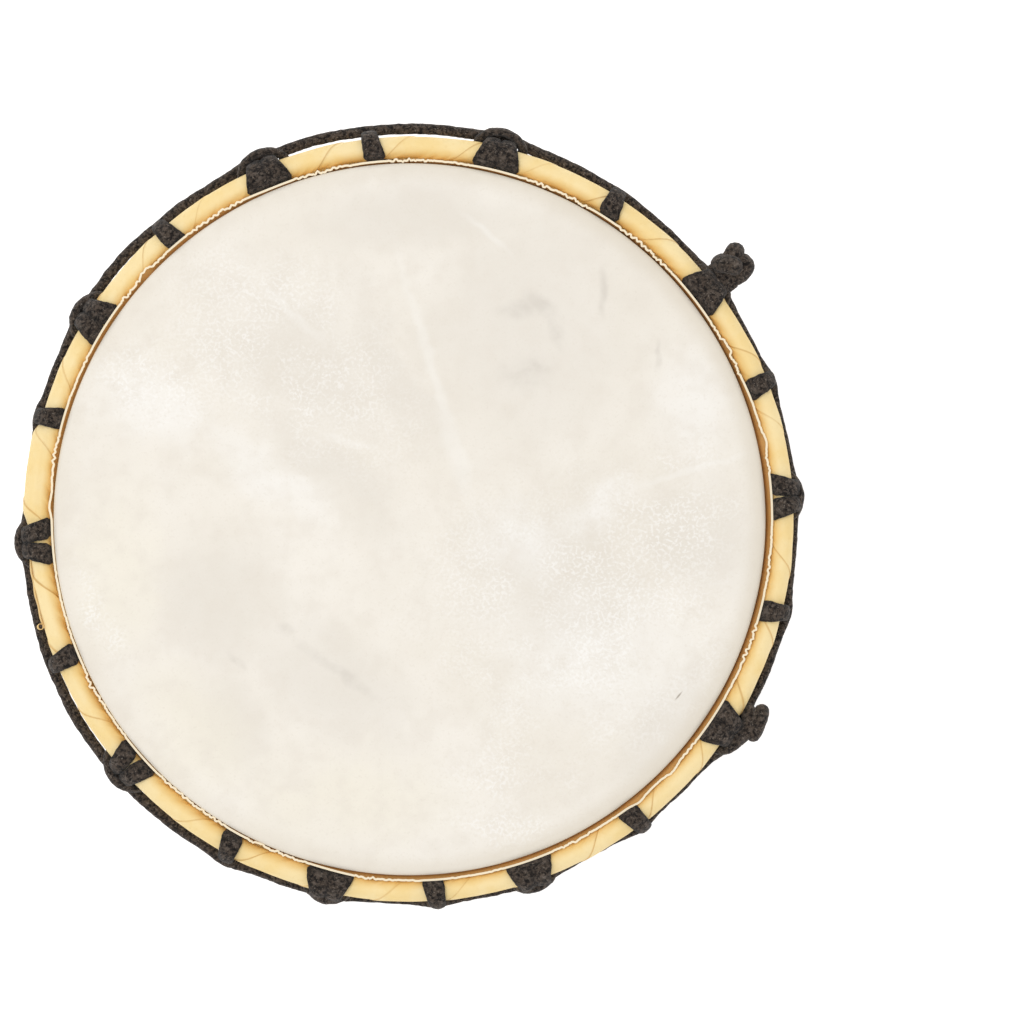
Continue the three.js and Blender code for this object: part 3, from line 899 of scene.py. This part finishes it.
def hitch_bight(degrees, reach):
    """The bight across the outside of a hitch: up from under the ring, over both legs and down."""
    crest = (reach - CROWN_RADIUS) / MM - BIGHT_THICK
    lift = eased(reach / MM, 167.2, 170.4)
    spots = []
    for (low_shift, low_tube), (high_shift, high_tube) in zip(LOW_BIGHT, HIGH_BIGHT):
        shift = low_shift + (high_shift - low_shift) * lift
        tube_degrees = low_tube + (high_tube - low_tube) * lift
        spots.append((shift, tube_degrees, max(crest - BIGHT_FALL * shift * shift, BIGHT_CLEAR)))
    spots = [(-shift, tube, away) for shift, tube, away in spots[:0:-1]] + spots
    keys = []
    for shift, tube_degrees, away in spots:
        angle = degrees + math.degrees(shift * MM / CROWN_RADIUS)
        keys.append(ring_spot(CROWN_RADIUS, CROWN_HEIGHT, angle, tube_degrees, away * MM))
    line = smooth_line(keys, 6, False)
    core = ring_spot(CROWN_RADIUS, CROWN_HEIGHT, degrees, 0, -2 * MM)
    ups = [(spot - core).normalized() for spot in line]
    return stations_along(line, ups, BIGHT_WIDE * MM, BIGHT_THICK * MM, False)


def slack_spot(degrees, reach, least_drop):
    """The cord's middle where its outer side is at a reach, kept clear of the legs and the ring."""
    radius = reach - ROPE_HALF
    beyond = radius - CROWN_RADIUS
    drop = math.sqrt(max(CORD_CLEAR ** 2 - beyond ** 2, least_drop ** 2))
    return cylinder_spot(degrees, radius, CROWN_HEIGHT - drop)


def slack_line():
    """The middle of the cord round the drum: close under each bight, slack to each lacing turn."""
    ties = [(a, r - HITCH_TUCK, HITCH_REST) for a, r in zip(HITCH_ANGLES, HITCH_REACHES)]
    ties += [(a, r, TURN_REST) for a, r in zip(TURN_ANGLES, TURN_REACHES)]
    ties.sort()
    line = []
    for i, (tie, reach, half) in enumerate(ties):
        next_tie, next_reach, next_half = ties[(i + 1) % len(ties)]
        if i + 1 == len(ties):
            next_tie += 360
        before, here, after = (SLACK_REACHES[(i + k) % len(ties)] for k in (-1, 0, 1))
        steps = round((next_tie - tie) / SLACK_STEP)
        for k in range(steps):
            share = k / steps
            degrees = tie + (next_tie - tie) * share
            slack = here + 0.5 * (before - here) * (1 - eased(share, 0.0, 0.5))
            slack += 0.5 * (after - here) * eased(share, 0.5, 1.0)
            near = math.exp(-(((degrees - tie) / half) ** 2))
            next_near = math.exp(-(((next_tie - degrees) / next_half) ** 2))
            out = slack + (reach - slack) * near + (next_reach - slack) * next_near
            drop = SLACK_DROP - TIED_LIFT * max(near, next_near)
            line.append(slack_spot(degrees, out * MM, drop * MM))
    return line


def stopper_knot(degrees, radius):
    """A fat overhand knot: the cord tucked through its own loop and pulled up tight."""
    turn = Matrix.Rotation(math.radians(degrees), 3, "Z")
    turn = turn @ Matrix.Rotation(math.radians(KNOT_TIP), 3, "Y")
    place = cylinder_spot(degrees, radius, CROWN_HEIGHT + 0.5 * MM)
    line = []
    for i in range(KNOT_STEPS):
        t = 2 * math.pi * i / KNOT_STEPS
        x = math.sin(t) + 2 * math.sin(2 * t)
        y = math.cos(t) - 2 * math.cos(2 * t)
        z = -2.0 * math.sin(3 * t)
        line.append(place + turn @ (Vector((x, y, z)) * KNOT_SCALE * MM))
    ups = [(spot - place).normalized() for spot in line]
    return stations_along(line, ups, KNOT_HALF_WIDTH, KNOT_HALF_THICK, True)


crown_strands = RopeMesh()
for hitch, reach, spread in zip(HITCH_ANGLES, HITCH_REACHES, HITCH_SPREADS):
    for way in (-1, 1):
        shift = way * spread * MM
        leg = ring_leg(hitch, shift, way * HITCH_OUTER_OFFSET, HITCH_HALF - spread * MM)
        crown_strands.strand(leg, LEG_SIDES, True, LEG_SQUARENESS, LEG_SIDE_SHADE)
    crown_strands.strand(hitch_bight(hitch, reach * MM), ROUND_SIDES, False)
slack = slack_line()
slack_ups = [Vector((spot.x, spot.y, 0)).normalized() for spot in slack]
crown_strands.strand(
    stations_along(slack, slack_ups, 0.95 * ROPE_HALF, 1.1 * ROPE_HALF, True), ROUND_SIDES, True
)
crown_strands.strand(stopper_knot(*BIG_KNOT), ROUND_SIDES, True)
neck_angle = BIG_KNOT[0] - 0.5
neck_height = CROWN_HEIGHT - 0.5 * MM
neck = [cylinder_spot(neck_angle, r * MM, neck_height) for r in NECK_RADII]
neck_line = smooth_line(neck, 4, False)
neck_ups = [Vector((0, 0, 1))] * len(neck_line)
crown_strands.strand(
    stations_along(neck_line, neck_ups, NECK_HALF_WIDTH, NECK_HALF_THICK, False),
    ROUND_SIDES,
    False,
)
for places, half in ((TAIL_KEYS, TAIL_HALF), (TAIL_ROOT_KEYS, TAIL_ROOT_HALF)):
    spots = [cylinder_spot(a, r * MM, CROWN_HEIGHT + z * MM) for a, r, z in places]
    bend = smooth_line(spots, 6, False)
    ups = [Vector((0, 0, 1))] * len(bend)
    crown_strands.strand(
        stations_along(bend, ups, half * MM, half * MM, False), ROUND_SIDES, False
    )
crown_rope = crown_strands.piece("crown_rope_cord")

black_rope, tree, shader, place = new_material("black_rope")
cord_map = add_node(tree, "ShaderNodeUVMap", uv_map="cord").outputs["UV"]
fibre_map = add_node(
    tree, "ShaderNodeMapping", {"Vector": cord_map, "Scale": (0.55, 9.0, 1.0)}
).outputs["Vector"]
fibres = noise_at(tree, fibre_map, 1.0, detail=4, roughness=0.65, distortion=0.6)
felt = noise_at(tree, place, 620, detail=5, roughness=0.7)
lint = noise_at(tree, place, 1150, detail=2, roughness=0.6, distortion=0.8)
cord = blend_colours(tree, ranged(tree, felt, 0.42, 0.6), colour(17, 13, 11), colour(78, 67, 58))
cord = blend_colours(tree, ranged(tree, fibres, 0.48, 0.7, 0.0, 0.65), cord, colour(108, 97, 88))
cord = blend_colours(tree, ranged(tree, lint, 0.6, 0.7, 0.0, 0.5), cord, colour(150, 139, 128))
# Painted shade: the two sides of each flattened leg are darkened, so that its middle reads lighter,
# as if lit from above.
side_shade = add_node(tree, "ShaderNodeAttribute", attribute_name="side_shade").outputs["Fac"]
cord = blend_colours(tree, sums(tree, "MULTIPLY", side_shade, 0.8), cord, colour(16, 13, 12))
tree.links.new(cord, shader.inputs["Base Color"])
shader.inputs["Roughness"].default_value = 0.92
shader.inputs["Specular IOR Level"].default_value = 0.2
shader.inputs["Sheen Weight"].default_value = 0.12
shader.inputs["Sheen Roughness"].default_value = 0.5
under = bump(tree, shader, felt, 0.9 * MM, 0.8)
bump(tree, shader, fibres, 0.35 * MM, 0.6, under)
crown_rope.data.materials.append(black_rope)
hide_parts("crown_rope")
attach(crown_rope, "root")


# Bottom ring: a thinner steel ring low on the shell, wound with the same tape as the crown ring.
# It hangs in the lacing and takes the lacing's pull from below.
BOTTOM_TUBE = 4 * MM
BOTTOM_HEIGHT = 13 * MM
BOTTOM_RADIUS = shell_radius(BOTTOM_HEIGHT) + 2 * ROPE_HALF + BOTTOM_TUBE + 6 * FIT_GAP
BOTTOM_WRAPS = 30
BOTTOM_PHASE = 0.0

bottom_ring = taped_ring(
    "bottom_ring_tape",
    BOTTOM_RADIUS,
    BOTTOM_HEIGHT,
    BOTTOM_TUBE,
    BOTTOM_WRAPS,
    BOTTOM_PHASE,
    seed=19,
    thick=False,
)
bottom_ring.data.materials.append(binding_tape)
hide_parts("bottom_ring")
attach(bottom_ring, "root")


# Lacing rope: a second length of the same black cord, pulled tight in a zigzag.
# It makes one turn over the crown ring between each pair of hitches, and passes under the bottom
# ring and up behind it between one turn and the next.
TURN_LEAN = 0.9 * MM
LACING_TOP = 7.0 * MM
LACING_TOP_DEGREES = -70
LACING_TIP = 0.8
UNDER_STEPS = 8
UNDER_START = 15
UNDER_TURN = 210
LACING_STEP = 1.8 * MM


def lacing_line():
    """The middle of the zigzag, and the direction of its outer face at each point."""
    line, ups = [], []
    tube = math.radians(LACING_TOP_DEGREES)
    top_radius = CROWN_RADIUS + LACING_TOP * math.cos(tube)
    top_height = CROWN_HEIGHT + LACING_TOP * math.sin(tube)
    away = BOTTOM_TUBE + FIT_GAP + ROPE_HALF
    keys, key_ups = [], []
    for i, turn in enumerate(TURN_ANGLES):
        last = i + 1 == len(TURN_ANGLES)
        after = TURN_ANGLES[0] + 360 if last else TURN_ANGLES[i + 1]
        foot = (turn + after) / 2
        face = 1 if i % 2 == 0 else -1
        for tip in (-LACING_TIP, LACING_TIP):
            keys.append(cylinder_spot(turn + tip, top_radius, top_height))
            key_ups.append(outwards(turn + tip) * face)
        middle = cylinder_spot(foot, BOTTOM_RADIUS, BOTTOM_HEIGHT)
        for k in range(UNDER_STEPS + 1):
            tube_degrees = UNDER_START - UNDER_TURN * k / UNDER_STEPS
            spot = ring_spot(BOTTOM_RADIUS, BOTTOM_HEIGHT, foot, tube_degrees, away)
            keys.append(spot)
            key_ups.append((spot - middle).normalized() * face)
    count = len(keys)
    for i in range(count):
        here, there = keys[i], keys[(i + 1) % count]
        steps = max(1, round((there - here).length / LACING_STEP))
        for k in range(steps):
            share = k / steps
            line.append(here.lerp(there, share))
            ups.append(key_ups[i].lerp(key_ups[(i + 1) % count], share))
    return line, ups


lacing_strands = RopeMesh()
for turn in TURN_ANGLES:
    leg = ring_leg(turn, -TURN_LEAN, TURN_LEAN, TURN_INNER_HALF)
    lacing_strands.strand(leg, LEG_SIDES, True, LEG_SQUARENESS, LEG_SIDE_SHADE)
zigzag, zigzag_ups = lacing_line()
lacing_strands.strand(
    stations_along(zigzag, zigzag_ups, ROPE_HALF, ROPE_HALF, True), ROUND_SIDES, True
)
lacing_rope = lacing_strands.piece("lacing_rope_cord")
lacing_rope.data.materials.append(black_rope)
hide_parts("lacing_rope")
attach(lacing_rope, "root")


# Floor, light and camera: a white studio floor, an even white surround and one large soft light.
# The camera looks straight down from above the right half of the head.
CAMERA_AWAY = 1.5
FRAME_WIDTH = 433 * MM
AIM = Vector((42.9 * MM, 3 * MM, DRUM_HEIGHT))
SENSOR_WIDTH = 36
FLOOR_SIZE = 8
FLOOR_DROP = 0.2 * MM
FLOOR_GLOW = 0.55
SURROUND_STRENGTH = 0.68
LIGHT_SPOT = (-0.3, 0.2, 1.9)
LIGHT_SIZE = 1.3
LIGHT_ENERGY = 13.5

bpy.ops.object.select_all(action="DESELECT")
bpy.ops.mesh.primitive_plane_add(size=FLOOR_SIZE, location=(0, 0, -FLOOR_DROP))
floor = bpy.context.object
floor.name = "floor"
bpy.ops.object.transform_apply(location=True, rotation=True, scale=True)
pale_floor, tree, shader, place = new_material("pale_floor")
shader.inputs["Base Color"].default_value = (0.93, 0.93, 0.93, 1)
shader.inputs["Roughness"].default_value = 0.9
shader.inputs["Emission Color"].default_value = (1, 1, 1, 1)
shader.inputs["Emission Strength"].default_value = FLOOR_GLOW
floor.data.materials.append(pale_floor)

world = bpy.data.worlds.new("white_surround")
bpy.context.scene.world = world
world.use_nodes = True
background = world.node_tree.nodes["Background"]
background.inputs["Color"].default_value = (1, 1, 1, 1)
background.inputs["Strength"].default_value = SURROUND_STRENGTH

bpy.ops.object.light_add(type="AREA", location=LIGHT_SPOT)
soft_light = bpy.context.object
soft_light.name = "soft_light"
soft_light.data.shape = "DISK"
soft_light.data.size = LIGHT_SIZE
soft_light.data.energy = LIGHT_ENERGY
soft_light.rotation_euler = (-soft_light.location).to_track_quat("-Z", "Y").to_euler()

bpy.ops.object.camera_add(location=AIM + Vector((0, 0, CAMERA_AWAY)), rotation=(0, 0, 0))
camera = bpy.context.object
camera.name = "camera"
camera.data.sensor_width = SENSOR_WIDTH
camera.data.lens = SENSOR_WIDTH * CAMERA_AWAY / FRAME_WIDTH
bpy.context.scene.camera = camera
bpy.context.scene.view_settings.view_transform = "Standard"
